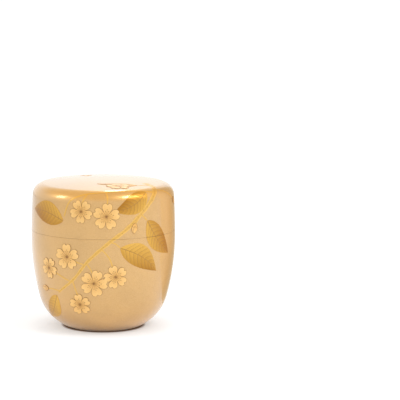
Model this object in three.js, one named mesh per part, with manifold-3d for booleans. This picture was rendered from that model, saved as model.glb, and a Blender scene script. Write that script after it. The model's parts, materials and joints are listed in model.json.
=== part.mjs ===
// A lidded tea caddy (natsume): a turned wooden cup and a turned wooden lid, lacquered inside and out,
// with a cherry spray laid over both in raised gold.
// Millimetres, +Z up, the front towards -Y. The origin is the middle of the foot, where it stands.
import * as THREE from 'three';
import { mergeVertices } from 'three/addons/utils/BufferGeometryUtils.js';
import Module from 'manifold-3d';

const wasm = await Module();
wasm.setup();

// Outer form, the same curve over cup and lid
const caddyRadius = 33;
const cupHeight = 45;
const lidHeight = 22.4;
const bellyDrop = 3;
const footRadius = 17.8;
const footHeight = 0.5;
const cornerRadius = 20.8;
const taperRadius = 110;
const sideBowRadius = 324;
const shoulderRadius = 5.7;
const crownRadius = 330;

// Cup: its well, and the foot it stands on
const wellFloorRadius = 18;
const floorHeight = 4.6;
const footLand = 3.7;
const recessDepth = 1;

// Lid: its hollow
const lidThickness = 2.8;
const hollowFillet = 3.4;

// Fit of the lid over the cup's spigot
const rimWidth = 2;
const fitClearance = 0.2;
const spigotWall = 1.6;
const spigotHeight = 7.5;
const seamGap = 0.2;
const edgeEase = 0.12;

// Coats over the wood, and the hairline left under each
const groundCoat = 0.4;
const liningCoat = 0.3;
const spigotCoat = 0.25;
const rimCoat = 0.3;
const baseCoat = 0.4;
const footCoatLip = 0.4;
const coatSeat = 0.02;

// Raised gold: its height over the ground, at the middle and at the edge of a motif, and its seat.
// The root is the depth to which a motif is drawn before the ground is cut away from it.
const reliefLift = 0.2;
const reliefEdge = 0.12;
const reliefSeat = 0.03;
const reliefRoot = 0.8;
const motifGap = 0.25;
const crumbVolume = reliefLift ** 3;

// Motifs
const blossomRadius = 6;
const leafLength = 22;
const leafWidth = 10.4;
const leafTipWidth = 0.5;
const leafBow = 1.6;
const budLength = 5;
const budWidth = 3;
const petalRadius = 2.7;
const branchWidth = 2.4;
const branchTipWidth = 1.1;
const twigWidth = 0.9;
const stalkWidth = 0.6;
const branchStep = 2.4;

// Fineness of the turned and of the raised surfaces
const turnSteps = 32;
const cornerSteps = 5;
const taperSteps = 4;
const sideSteps = 2;
const shoulderSteps = 5;
const crownSteps = 3;
const wellSteps = 6;
const filletSteps = 3;
const leafRows = 8;
const leafColumns = 6;
const waySamples = 8;
const heightHalvings = 40;

const wood = new THREE.MeshStandardMaterial({ color: 0xb98f5f, roughness: 0.8, metalness: 0 });
const goldGround = new THREE.MeshStandardMaterial({ color: 0xd7b07d, roughness: 0.3, metalness: 0.6 });
const pearSkin = new THREE.MeshStandardMaterial({ color: 0x9a5b22, roughness: 0.25, metalness: 0.3 });
const leafGold = new THREE.MeshStandardMaterial({ color: 0xc29044, roughness: 0.3, metalness: 0.7 });
const blossomGold = new THREE.MeshStandardMaterial({ color: 0xf3c27d, roughness: 0.3, metalness: 0.6 });
const branchGold = new THREE.MeshStandardMaterial({ color: 0xe3b05c, roughness: 0.3, metalness: 0.7 });

const quarterTurn = Math.PI / 2;
const fullTurn = 2 * Math.PI;

// Heights and radii that follow from the sizes above: cup and lid part at the cup's height,
// and the belly, where the outside is widest, lies just under it
const caddyHeight = cupHeight + lidHeight;
const bellyHeight = cupHeight - bellyDrop;
const ledgeHeight = cupHeight - seamGap / 2;
const rimHeight = cupHeight + seamGap / 2;
const spigotTop = ledgeHeight + spigotHeight;
const socketRadius = caddyRadius - rimWidth;
const spigotRadius = socketRadius - fitClearance;
const wellRadius = spigotRadius - spigotWall;
const recessRadius = footRadius - footLand;

const at = (radius, height) => new THREE.Vector2(radius, height);

// The centre of a circle that lies at two given distances from two points, on the outer side: with the
// difference of two radii as a distance, the smaller circle touches the larger one from inside
function nestedCentre(centreA, reachA, centreB, reachB) {
  const between = centreB.clone().sub(centreA);
  const apart = between.length();
  const along = (reachA ** 2 - reachB ** 2 + apart ** 2) / (2 * apart);
  const across = Math.sqrt(reachA ** 2 - along ** 2);
  const way = between.divideScalar(apart);
  const foot = way.clone().multiplyScalar(along).add(centreA);
  const square = at(way.y, -way.x).multiplyScalar(across);
  return foot.clone().add(square).x > foot.x ? foot.add(square) : foot.sub(square);
}

const angleFrom = (centre, point) => point.clone().sub(centre).angle();

function arc(centre, radiusX, radiusY, startAngle, endAngle) {
  return new THREE.EllipseCurve(centre.x, centre.y, radiusX, radiusY, startAngle, endAngle, false, 0);
}

// The outside as five arcs, from the edge of the foot to the middle of the crown, drawn in by an inset:
// the corner that rises from the foot, the taper up to the belly, a long bow, the shoulder and the crown
const footEdge = at(footRadius, footHeight);
const taperCentre = at(caddyRadius - taperRadius, bellyHeight);
const cornerCentre = nestedCentre(taperCentre, taperRadius - cornerRadius, footEdge, cornerRadius);
const cornerStart = angleFrom(cornerCentre, footEdge) - fullTurn;
const cornerEnd = angleFrom(taperCentre, cornerCentre) - fullTurn;
const footNormal = cornerCentre.clone().sub(footEdge).normalize();
const bowCentre = at(caddyRadius - sideBowRadius, bellyHeight);
const crownCentre = at(0, caddyHeight - crownRadius);
const shoulderCentre = nestedCentre(
  bowCentre,
  sideBowRadius - shoulderRadius,
  crownCentre,
  crownRadius - shoulderRadius,
);
const bowEnd = angleFrom(bowCentre, shoulderCentre);
const crownStart = angleFrom(crownCentre, shoulderCentre);

function outsideArcs(inset) {
  const corner = cornerRadius - inset;
  const taper = taperRadius - inset;
  const bow = sideBowRadius - inset;
  const shoulder = shoulderRadius - inset;
  const crown = crownRadius - inset;
  return [
    arc(cornerCentre, corner, corner, cornerStart, cornerEnd),
    arc(taperCentre, taper, taper, cornerEnd, 0),
    arc(bowCentre, bow, bow, 0, bowEnd),
    arc(shoulderCentre, shoulder, shoulder, bowEnd, crownStart),
    arc(crownCentre, crown, crown, crownStart, quarterTurn),
  ];
}

// Points along a chain of arcs, with each arc's own number of steps
function chainPoints(arcs, steps) {
  return arcs.flatMap((curve, index) => curve.getPoints(steps[index]).slice(index === 0 ? 0 : 1));
}

function outsidePoints(inset) {
  const steps = [cornerSteps, taperSteps, sideSteps, shoulderSteps, crownSteps];
  const points = chainPoints(outsideArcs(inset), steps);
  points.at(-1).x = 0;
  return points;
}

// The part of a rising outline between two heights, with a point put in at each cut
function stretch(points, low, high) {
  const kept = [];
  points.forEach((point, index) => {
    const before = points[index - 1] ?? point;
    [low, high].forEach((level) => {
      if (before.y < level && point.y > level) {
        kept.push(before.clone().lerp(point, (level - before.y) / (point.y - before.y)));
      }
    });
    if (point.y >= low && point.y <= high) kept.push(point);
  });
  return kept;
}

const cupOutside = (inset, top) => stretch(outsidePoints(inset), -Infinity, top);
const lidOutside = (inset, bottom) => stretch(outsidePoints(inset), bottom, Infinity);

// The well's surface from the middle of its floor to a height on the spigot, moved out into the wood
function wellPoints(outset, top) {
  const floorArc = arc(
    at(wellFloorRadius, bellyHeight),
    wellRadius - wellFloorRadius + outset,
    bellyHeight - floorHeight + outset,
    -quarterTurn,
    0,
  );
  return [at(0, floorHeight - outset), ...floorArc.getPoints(wellSteps), at(wellRadius + outset, top)];
}

// The lid's hollow from its mouth to the middle of its ceiling, moved out into the wood
const ceilingRadius = crownRadius - lidThickness;
const filletReach = ceilingRadius - hollowFillet;
const filletAcross = socketRadius - hollowFillet;
const filletCentre = at(filletAcross, crownCentre.y + Math.sqrt(filletReach ** 2 - filletAcross ** 2));
const ceilingStart = angleFrom(crownCentre, filletCentre);

function hollowPoints(outset, bottom) {
  const fillet = hollowFillet + outset;
  const ceiling = ceilingRadius + outset;
  const arcs = [
    arc(filletCentre, fillet, fillet, 0, ceilingStart),
    arc(crownCentre, ceiling, ceiling, ceilingStart, quarterTurn),
  ];
  const points = [at(socketRadius + outset, bottom), ...chainPoints(arcs, [filletSteps, crownSteps])];
  points.at(-1).x = 0;
  return points;
}

// A solid turned about the upright axis from a section that closes on itself or on the axis
function turned(section) {
  const open = section[0].x === 0 && section.at(-1).x === 0;
  const points = open ? section : [...section, section[0]];
  const outwards = THREE.ShapeUtils.area(points) > 0 ? points : points.toReversed();
  return new THREE.LatheGeometry(outwards, turnSteps).rotateX(quarterTurn);
}

const caddy = new THREE.Group();

function addPiece(name, geometry, material) {
  const mesh = new THREE.Mesh(geometry, material);
  mesh.name = name;
  caddy.add(mesh);
}

// Cup
function cupCore() {
  const bury = groundCoat + coatSeat;
  const ledge = ledgeHeight - spigotCoat - coatSeat;
  const edge = at(footRadius - coatSeat / footNormal.y, footHeight);
  const recess = at(recessRadius + footCoatLip + coatSeat, recessDepth + baseCoat + coatSeat);
  return turned([
    at(0, recess.y),
    recess,
    at(recess.x, footHeight),
    edge,
    footNormal.clone().multiplyScalar(bury).add(edge),
    ...cupOutside(bury, ledge).slice(1),
    at(spigotRadius - spigotCoat - coatSeat, ledge),
    at(spigotRadius - spigotCoat - coatSeat, spigotTop - spigotCoat - coatSeat),
    ...wellPoints(liningCoat + coatSeat, spigotTop - spigotCoat - coatSeat).toReversed(),
  ]);
}

function cupGround() {
  const outer = cupOutside(0, ledgeHeight - edgeEase);
  return turned([
    ...outer,
    at(outer.at(-1).x - edgeEase, ledgeHeight),
    ...cupOutside(groundCoat, ledgeHeight).toReversed(),
  ]);
}

function cupLining() {
  return turned([
    ...wellPoints(0, spigotTop - edgeEase),
    at(wellRadius + edgeEase, spigotTop),
    ...wellPoints(liningCoat, spigotTop).toReversed(),
  ]);
}

function spigotSkin() {
  const ledgeEnd = cupOutside(groundCoat, ledgeHeight).at(-1).x - coatSeat;
  const cap = wellRadius + liningCoat + coatSeat;
  return turned([
    at(ledgeEnd, ledgeHeight - spigotCoat),
    at(ledgeEnd, ledgeHeight),
    at(spigotRadius, ledgeHeight),
    at(spigotRadius, spigotTop - edgeEase),
    at(spigotRadius - edgeEase, spigotTop),
    at(cap, spigotTop),
    at(cap, spigotTop - spigotCoat),
    at(spigotRadius - spigotCoat, spigotTop - spigotCoat),
    at(spigotRadius - spigotCoat, ledgeHeight - spigotCoat),
  ]);
}

function footSkin() {
  const top = footHeight - coatSeat;
  const lip = recessRadius + footCoatLip;
  return turned([
    at(recessRadius + edgeEase, 0),
    at(footRadius - edgeEase, 0),
    at(footRadius, edgeEase),
    at(footRadius, top),
    at(lip, top),
    at(lip, recessDepth + baseCoat),
    at(recessRadius, recessDepth + baseCoat),
    at(recessRadius, edgeEase),
  ]);
}

function baseSkin() {
  const radius = recessRadius - coatSeat;
  const top = recessDepth + baseCoat;
  return turned([at(0, recessDepth), at(radius, recessDepth), at(radius, top), at(0, top)]);
}

// Lid
function lidCore() {
  const rim = rimHeight + rimCoat + coatSeat;
  return turned([
    ...hollowPoints(liningCoat + coatSeat, rim).toReversed(),
    ...lidOutside(groundCoat + coatSeat, rim),
  ]);
}

function lidGround() {
  const outer = lidOutside(0, rimHeight + edgeEase);
  return turned([
    ...lidOutside(groundCoat, rimHeight).toReversed(),
    at(outer[0].x - edgeEase, rimHeight),
    ...outer,
  ]);
}

function lidLining() {
  const bottom = rimHeight + rimCoat + coatSeat;
  return turned([...hollowPoints(0, bottom).toReversed(), ...hollowPoints(liningCoat, bottom)]);
}

function lidRimSkin() {
  const outer = lidOutside(groundCoat, rimHeight)[0].x - coatSeat;
  return turned([
    at(socketRadius + edgeEase, rimHeight),
    at(outer, rimHeight),
    at(outer, rimHeight + rimCoat),
    at(socketRadius, rimHeight + rimCoat),
    at(socketRadius, rimHeight + edgeEase),
  ]);
}

addPiece('cup_core', cupCore(), wood);
addPiece('cup_gold_ground', cupGround(), goldGround);
addPiece('cup_inner_lacquer', cupLining(), pearSkin);
addPiece('spigot_lacquer', spigotSkin(), goldGround);
addPiece('foot_lacquer', footSkin(), goldGround);
addPiece('base_lacquer', baseSkin(), pearSkin);
addPiece('lid_core', lidCore(), wood);
addPiece('lid_gold_ground', lidGround(), goldGround);
addPiece('lid_inner_lacquer', lidLining(), pearSkin);
addPiece('lid_rim_lacquer', lidRimSkin(), goldGround);

// The outside as one path, on which a rise is the distance from the foot
const outside = new THREE.CurvePath();
outsideArcs(0).forEach((curve) => outside.add(curve));
const outsideLength = outside.getLength();

// The rise at which the outside passes a height, closed in on by halving
function riseAt(height) {
  let [low, high] = [0, 1];
  for (let halving = 0; halving < heightHalvings; halving += 1) {
    const middle = (low + high) / 2;
    [low, high] = outside.getPoint(middle).y < height ? [middle, high] : [low, middle];
  }
  return low * outsideLength;
}

// Rise shares run from 0 at the foot to 1 at the seam, and on to 2 in the middle of the crown
const cupRise = riseAt(cupHeight);
const lidRise = outsideLength - cupRise;
const riseOf = (share) => Math.min(share, 1) * cupRise + Math.max(share - 1, 0) * lidRise;

// A point over the outside: a turn in degrees from the front, a rise up the outside and a lift off it
function overGround(turn, rise, lift) {
  const share = THREE.MathUtils.clamp(rise / outsideLength, 0, 1);
  const foot = outside.getPoint(share);
  const way = outside.getTangent(share);
  const radius = foot.x + way.y * lift;
  const angle = THREE.MathUtils.degToRad(turn);
  return new THREE.Vector3(radius * Math.sin(angle), -radius * Math.cos(angle), foot.y - way.x * lift);
}

const groundRadius = (rise) => outside.getPoint(THREE.MathUtils.clamp(rise / outsideLength, 0, 1)).x;

// A place on the ground, moved across and up along it by real distances
function moved(place, across, up) {
  const rise = place.rise + up;
  return { turn: place.turn + THREE.MathUtils.radToDeg(across / groundRadius(rise)), rise };
}

const placed = ({ turn, riseShare }) => ({ turn, rise: riseOf(riseShare) });

function toManifold(positions, index) {
  const mesh = { numProp: 3, vertProperties: new Float32Array(positions), triVerts: new Uint32Array(index) };
  return new wasm.Manifold(new wasm.Mesh(mesh));
}

// A raised motif before the ground is cut from it: its upper points, the faces over them and its edge
function relief(tops, faces, edge) {
  const deep = tops.map(({ place }) => overGround(place.turn, place.rise, -reliefRoot));
  const high = tops.map(({ place, lift }) => overGround(place.turn, place.rise, lift));
  const under = tops.length;
  const index = faces.flatMap(([a, b, c]) => [a, b, c, under + a, under + c, under + b]);
  edge.forEach((a, step) => {
    const b = edge[(step + 1) % edge.length];
    index.push(a, under + a, b, b, under + a, under + b);
  });
  return toManifold([...high, ...deep].flatMap((point) => point.toArray()), index);
}

// A motif laid out in rows that run across it, from its near end to its far end
function rowRelief(rows) {
  const width = rows[0].length;
  const number = (row, column) => row * width + column;
  const faces = [];
  for (let row = 1; row < rows.length; row += 1) {
    for (let column = 1; column < width; column += 1) {
      const [a, b] = [number(row - 1, column - 1), number(row - 1, column)];
      const [d, c] = [number(row, column - 1), number(row, column)];
      faces.push([a, b, c], [a, c, d]);
    }
  }
  const last = rows.length - 1;
  const nearEnd = rows[0].map((_, column) => number(0, column));
  const right = rows.slice(1, last).map((_, row) => number(row + 1, width - 1));
  const farEnd = rows[last].map((_, column) => number(last, column)).toReversed();
  const left = rows.slice(1, last).map((_, row) => number(row + 1, 0)).toReversed();
  return relief(rows.flat(), faces, [...nearEnd, ...right, ...farEnd, ...left]);
}

// A motif laid out in rings round its middle; an outline gives its reach at each of its corners
function ringRelief(place, outline, ringShares, lifts) {
  const tops = [{ place, lift: lifts[0] }];
  ringShares.forEach((share, ring) => {
    outline.forEach(({ across, up }) => {
      tops.push({ place: moved(place, across * share, up * share), lift: lifts[ring + 1] });
    });
  });
  const count = outline.length;
  const faces = outline.map((_, corner) => [0, 1 + corner, 1 + ((corner + 1) % count)]);
  for (let ring = 1; ring < ringShares.length; ring += 1) {
    for (let corner = 0; corner < count; corner += 1) {
      const next = (corner + 1) % count;
      const [inner, outer] = [1 + (ring - 1) * count, 1 + ring * count];
      faces.push([inner + corner, outer + corner, outer + next]);
      faces.push([inner + corner, outer + next, inner + next]);
    }
  }
  const rim = 1 + (ringShares.length - 1) * count;
  return relief(tops, faces, outline.map((_, corner) => rim + corner));
}

// One petal of a blossom as shares of its half angle and of the blossom's reach, notched at its tip
const petalCount = 5;
const petalOutlineShares = [
  [-1, 0.36], [-0.88, 0.72], [-0.58, 0.94], [-0.22, 1], [0, 0.88], [0.22, 1], [0.58, 0.94], [0.88, 0.72],
];

const blossomRingShares = [0.5, 1];

function blossom({ turn, riseShare, sizeShare, spin }, grow) {
  const reach = blossomRadius * sizeShare + grow;
  const halfPetal = Math.PI / petalCount;
  const outline = [];
  for (let petal = 0; petal < petalCount; petal += 1) {
    petalOutlineShares.forEach(([angleShare, reachShare]) => {
      const angle = THREE.MathUtils.degToRad(spin) + halfPetal * (2 * petal + angleShare);
      const radius = (reach - grow) * reachShare + grow;
      outline.push({ across: radius * Math.cos(angle), up: radius * Math.sin(angle) });
    });
  }
  const lifts = [reliefEdge, reliefLift, reliefEdge].map((lift) => lift + grow);
  return ringRelief(placed({ turn, riseShare }), outline, blossomRingShares, lifts);
}

// A bud or a lone petal: a rounded form about its middle, whose long way leans from upright
function drop(spec, length, width, outlineShares, grow) {
  const lean = THREE.MathUtils.degToRad(spec.lean);
  const outline = outlineShares.map(([acrossShare, upShare]) => {
    const flat = at((acrossShare * width) / 2, (upShare * length) / 2);
    flat.setLength(flat.length() + grow).rotateAround(at(0, 0), -lean);
    return { across: flat.x, up: flat.y };
  });
  return ringRelief(placed(spec), outline, [1], [reliefLift + grow, reliefEdge + grow]);
}

const budOutlineShares = [
  [0, -1], [0.62, -0.66], [1, -0.1], [0.74, 0.5], [0, 1], [-0.74, 0.5], [-1, -0.1], [-0.62, -0.66],
];
const petalDropShares = [
  [0, -1], [0.62, -0.5], [1, 0.25], [0.62, 0.96], [0, 0.68], [-0.62, 0.96], [-1, 0.25], [-0.62, -0.5],
];
const bud = (spec, grow) => drop(spec, budLength, budWidth, budOutlineShares, grow);
const fallenPetal = (spec, grow) => drop(spec, 2 * petalRadius, 2 * petalRadius, petalDropShares, grow);

// A leaf from its base to its tip along a bowed midrib; it leans clockwise from upright.
// The powers put its widest place below the middle and fill out its edges.
const leafBellyPower = 0.8;
const leafEdgePower = 0.9;

function leaf({ turn, riseShare, lean, sizeShare, bowShare }, grow) {
  const length = leafLength * sizeShare;
  const width = leafWidth * sizeShare;
  const turnedBy = THREE.MathUtils.degToRad(lean);
  const rows = [];
  for (let row = 0; row <= leafRows; row += 1) {
    const share = row / leafRows;
    const fullness = Math.sin(Math.PI * share ** leafBellyPower) ** leafEdgePower;
    const half = Math.max(fullness * width, leafTipWidth) / 2 + grow;
    const along = share * length + (2 * share - 1) * grow;
    const bow = leafBow * bowShare * Math.sin(Math.PI * share);
    const columns = [];
    for (let column = 0; column <= leafColumns; column += 1) {
      const side = (2 * column) / leafColumns - 1;
      const flat = at(bow + side * half, along).rotateAround(at(0, 0), -turnedBy);
      const lift = THREE.MathUtils.lerp(reliefLift, reliefEdge, Math.abs(side)) + grow;
      columns.push({ place: moved(placed({ turn, riseShare }), flat.x, flat.y), lift });
    }
    rows.push(columns);
  }
  return rowRelief(rows);
}

// A branch, twig or stalk along a smooth way through places on the ground, tapering to its far end.
// A branch has a ridge along its middle, and what is thinner is flat.
function ribbon(wayShares, nearWidth, farWidth, grow) {
  const way = new THREE.SplineCurve(wayShares.map(([turn, share]) => at(turn, riseOf(share))));
  const metric = (here, step) => at(THREE.MathUtils.degToRad(step.x) * groundRadius(here.y), step.y);
  const fine = way.getPoints(wayShares.length * waySamples);
  const length = fine
    .slice(1)
    .reduce((sum, point, index) => sum + metric(point, point.clone().sub(fine[index])).length(), 0);
  const steps = Math.max(2, Math.ceil(length / branchStep));
  const ridged = nearWidth > twigWidth;
  const sides = ridged ? [-1, 0, 1] : [-1, 1];
  const rows = [];
  for (let step = 0; step <= steps; step += 1) {
    const share = step / steps;
    const here = way.getPoint(share);
    const along = metric(here, way.getTangent(share)).normalize();
    const past = (2 * share - 1) * grow;
    const half = THREE.MathUtils.lerp(nearWidth, farWidth, share) / 2 + grow;
    rows.push(sides.map((side) => ({
      place: moved(
        { turn: here.x, rise: here.y },
        along.y * half * side + along.x * past,
        -along.x * half * side + along.y * past,
      ),
      lift: (ridged && side !== 0 ? reliefEdge : reliefLift) + grow,
    })));
  }
  return rowRelief(rows);
}

const joined = (solids) => solids.reduce((whole, solid) => whole.add(solid));

// Front spray: it hangs from the crown on the right, over the shoulder and across the seam to the left.
// Turns are degrees from the front, and rises are shares of the way up cup and lid.
const frontBranchShares = [
  [70, 1.605], [58, 1.47], [46, 1.34], [35, 1.225], [21, 1.085], [7, 0.97], [-9, 0.805], [-22, 0.625],
  [-38, 0.485],
];
const frontTwigShares = [
  [50, 1.39], [36, 1.425], [18, 1.435], [0, 1.42], [-14, 1.39], [-25, 1.32], [-29.5, 1.19],
];
const frontStalkShares = [
  [[-11, 0.785], [-7, 0.715], [-5.5, 0.65]],
  [[-12, 0.765], [-18, 0.785], [-23, 0.815]],
  [[-23, 0.61], [-21, 0.53], [-19, 0.46]],
  [[-25, 0.6], [-33, 0.64], [-41, 0.68]],
  [[1, 0.915], [7, 0.835], [10, 0.745]],
  [[5, 1.42], [6, 1.35], [5, 1.275]],
  [[-10, 1.405], [-13, 1.35], [-14.5, 1.295]],
  [[26, 1.44], [27, 1.49], [25, 1.55]],
  [[8, 0.975], [12, 0.96], [15.5, 0.925]],
  [[33, 1.21], [36, 1.185], [39, 1.15]],
  [[31, 1.18], [30, 1.155], [28.5, 1.13]],
  [[-36, 0.495], [-44, 0.505], [-51, 0.5]],
  [[54, 1.425], [66, 1.37], [76, 1.3]],
  [[62, 1.515], [56, 1.56], [50, 1.585]],
];
const frontBlossomShares = [
  { turn: -5, riseShare: 0.595, sizeShare: 1.06, spin: 70 },
  { turn: -27, riseShare: 0.83, sizeShare: 1, spin: 20 },
  { turn: -18, riseShare: 0.385, sizeShare: 0.86, spin: 100 },
  { turn: 12.5, riseShare: 0.655, sizeShare: 0.92, spin: 38 },
  { turn: -46, riseShare: 0.705, sizeShare: 0.84, spin: 55 },
  { turn: 5, riseShare: 1.2, sizeShare: 1.02, spin: 84 },
  { turn: -15, riseShare: 1.24, sizeShare: 0.9, spin: 50 },
  { turn: 23, riseShare: 1.62, sizeShare: 0.9, spin: 12 },
];
const frontLeafShares = [
  { turn: 39.5, riseShare: 1.145, lean: 138, sizeShare: 1, bowShare: 1 },
  { turn: 16, riseShare: 0.92, lean: 122, sizeShare: 1.02, bowShare: -1 },
  { turn: -30.5, riseShare: 1.15, lean: -82, sizeShare: 1, bowShare: 1 },
  { turn: -41, riseShare: 0.45, lean: -140, sizeShare: 0.8, bowShare: -1 },
  { turn: 49, riseShare: 1.595, lean: -58, sizeShare: 0.7, bowShare: 0.5 },
  { turn: 41, riseShare: 1.405, lean: -117, sizeShare: 0.86, bowShare: -1 },
];
const frontBudShares = [
  { turn: 27.5, riseShare: 1.09, lean: 190 },
  { turn: -55, riseShare: 0.5, lean: -92 },
  { turn: 80, riseShare: 1.275, lean: 130 },
];

// Back spray: a lower, smaller one, with petals that fall round the sides
const backBranchShares = [[148, 0.305], [160, 0.44], [176, 0.57], [194, 0.66], [212, 0.815]];
const backStalkShares = [
  [[168, 0.51], [165, 0.61], [166, 0.69]],
  [[184, 0.61], [188, 0.55], [191, 0.49]],
  [[205, 0.755], [198, 0.805], [194, 0.855]],
  [[157, 0.405], [151, 0.44], [146, 0.46]],
  [[211, 0.805], [219, 0.815], [226, 0.805]],
];
const backBlossomShares = [
  { turn: 166, riseShare: 0.755, sizeShare: 0.96, spin: 80 },
  { turn: 193, riseShare: 0.405, sizeShare: 0.88, spin: 30 },
  { turn: 189, riseShare: 0.865, sizeShare: 0.8, spin: 61 },
];
const backLeafShares = [
  { turn: 145, riseShare: 0.46, lean: -72, sizeShare: 0.85, bowShare: 1 },
  { turn: 214, riseShare: 0.79, lean: 142, sizeShare: 0.85, bowShare: 1 },
];
const backBudShares = [{ turn: 230, riseShare: 0.8, lean: 96 }];
const petalShares = [
  { turn: 100, riseShare: 0.735, lean: 35 },
  { turn: 122, riseShare: 1.195, lean: -60 },
  { turn: 176, riseShare: 1.235, lean: 150 },
  { turn: 252, riseShare: 1.175, lean: 20 },
  { turn: 268, riseShare: 0.57, lean: -35 },
  { turn: 205, riseShare: 1.605, lean: 75 },
];

function spray(branchShares, twigWays, stalkWays, grow) {
  return joined([
    ribbon(branchShares, branchWidth, branchTipWidth, grow),
    ...twigWays.map((way) => ribbon(way, twigWidth, stalkWidth, grow)),
    ...stalkWays.map((way) => ribbon(way, stalkWidth, stalkWidth, grow)),
  ]);
}

const numbered = (prefix, specs, draw, material) =>
  specs.map((spec, index) => ({ name: `${prefix}_${index + 1}`, draw: (grow) => draw(spec, grow), material }));

// Every motif, the front ones first: each is cut clear of those before it
const motifs = [
  ...numbered('blossom', [...frontBlossomShares, ...backBlossomShares], blossom, blossomGold),
  ...numbered('bud', [...frontBudShares, ...backBudShares], bud, blossomGold),
  ...numbered('leaf', [...frontLeafShares, ...backLeafShares], leaf, leafGold),
  ...numbered('petal', petalShares, fallenPetal, blossomGold),
  {
    name: 'front_branch',
    draw: (grow) => spray(frontBranchShares, [frontTwigShares], frontStalkShares, grow),
    material: branchGold,
  },
  {
    name: 'back_branch',
    draw: (grow) => spray(backBranchShares, [], backStalkShares, grow),
    material: branchGold,
  },
];

// Everything inside the ground's surface, and a hairline more, which no motif may reach
function groundSolid() {
  const points = outsidePoints(-reliefSeat);
  const geometry = turned([at(0, points[0].y), ...points]);
  geometry.deleteAttribute('normal');
  geometry.deleteAttribute('uv');
  const merged = mergeVertices(geometry);
  const corners = merged.index.array;
  const index = [];
  for (let first = 0; first < corners.length; first += 3) {
    const [a, b, c] = corners.slice(first, first + 3);
    if (a !== b && b !== c && c !== a) index.push(a, b, c);
  }
  return toManifold(merged.attributes.position.array, index);
}

function fromManifold(solid) {
  const mesh = solid.getMesh();
  const geometry = new THREE.BufferGeometry();
  geometry.setAttribute('position', new THREE.BufferAttribute(mesh.vertProperties, mesh.numProp));
  geometry.setIndex(new THREE.BufferAttribute(mesh.triVerts, 1));
  geometry.computeVertexNormals();
  return geometry;
}

// The islands of gold that a motif leaves on one side of the seam
const islands = (solid) => solid.decompose().filter((island) => island.volume() > crumbVolume);

const ground = groundSolid();
const cupSide = [[0, 0, -1], edgeEase - ledgeHeight];
const lidSide = [[0, 0, 1], rimHeight + edgeEase];
let taken = ground;
motifs.forEach(({ name, draw, material }) => {
  const shown = draw(0).subtract(taken);
  const sides = [
    { ending: '_lower', kept: islands(shown.trimByPlane(...cupSide)) },
    { ending: '_upper', kept: islands(shown.trimByPlane(...lidSide)) },
  ].filter(({ kept }) => kept.length > 0);
  sides.forEach(({ ending, kept }) => {
    kept.forEach((island, index) => {
      const side = sides.length > 1 ? ending : '';
      const part = kept.length > 1 ? `_part_${index + 1}` : '';
      addPiece(name + side + part, fromManifold(island), material);
    });
  });
  taken = taken.add(draw(motifGap));
});

export default caddy;
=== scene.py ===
# A lidded tea caddy (natsume): a turned cup and lid, gold ground under clear lacquer, and cherry
# sprays in raised gold. Metres, +Z up, the front towards -Y.
import json
import math

import bmesh
import bpy
import numpy as np
from mathutils import Matrix, Vector

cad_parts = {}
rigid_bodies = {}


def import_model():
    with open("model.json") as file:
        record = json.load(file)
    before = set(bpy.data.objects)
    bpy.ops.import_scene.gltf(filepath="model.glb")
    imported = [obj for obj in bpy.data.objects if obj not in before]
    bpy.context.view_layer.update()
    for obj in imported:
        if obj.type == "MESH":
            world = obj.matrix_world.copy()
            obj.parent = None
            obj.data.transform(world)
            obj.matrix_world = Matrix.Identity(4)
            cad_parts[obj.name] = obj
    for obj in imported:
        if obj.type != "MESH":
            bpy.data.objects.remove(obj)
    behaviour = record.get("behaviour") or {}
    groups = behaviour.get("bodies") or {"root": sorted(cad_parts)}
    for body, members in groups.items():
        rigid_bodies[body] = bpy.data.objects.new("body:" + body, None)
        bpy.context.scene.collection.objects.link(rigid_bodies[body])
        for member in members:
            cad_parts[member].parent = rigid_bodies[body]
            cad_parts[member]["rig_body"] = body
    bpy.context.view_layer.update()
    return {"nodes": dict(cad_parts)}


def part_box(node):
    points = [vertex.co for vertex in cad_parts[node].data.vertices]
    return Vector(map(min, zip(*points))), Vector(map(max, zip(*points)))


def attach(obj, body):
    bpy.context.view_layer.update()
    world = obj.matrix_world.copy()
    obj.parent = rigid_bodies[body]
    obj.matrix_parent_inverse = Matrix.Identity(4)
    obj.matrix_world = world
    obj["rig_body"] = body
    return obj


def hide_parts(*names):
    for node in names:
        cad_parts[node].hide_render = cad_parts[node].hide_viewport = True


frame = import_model()


# Camera, where the photograph was taken from; its lens and sensor are in millimetres
CAMERA_PLACE = (0.04427, -0.936, 0.196)
CAMERA_PITCH = 81.63
CAMERA_ROLL = 0.4
CAMERA_LENS = 185.7
CAMERA_SENSOR = 36


def add_camera():
    camera = bpy.data.cameras.new("camera")
    camera.lens = CAMERA_LENS
    camera.sensor_width = CAMERA_SENSOR
    camera.dof.use_dof = False
    holder = bpy.data.objects.new("camera", camera)
    holder.location = CAMERA_PLACE
    pitch = Matrix.Rotation(math.radians(CAMERA_PITCH), 3, "X")
    roll = Matrix.Rotation(math.radians(CAMERA_ROLL), 3, "Z")
    holder.rotation_euler = (pitch @ roll).to_euler()
    bpy.context.scene.collection.objects.link(holder)
    bpy.context.scene.camera = holder


add_camera()

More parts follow.
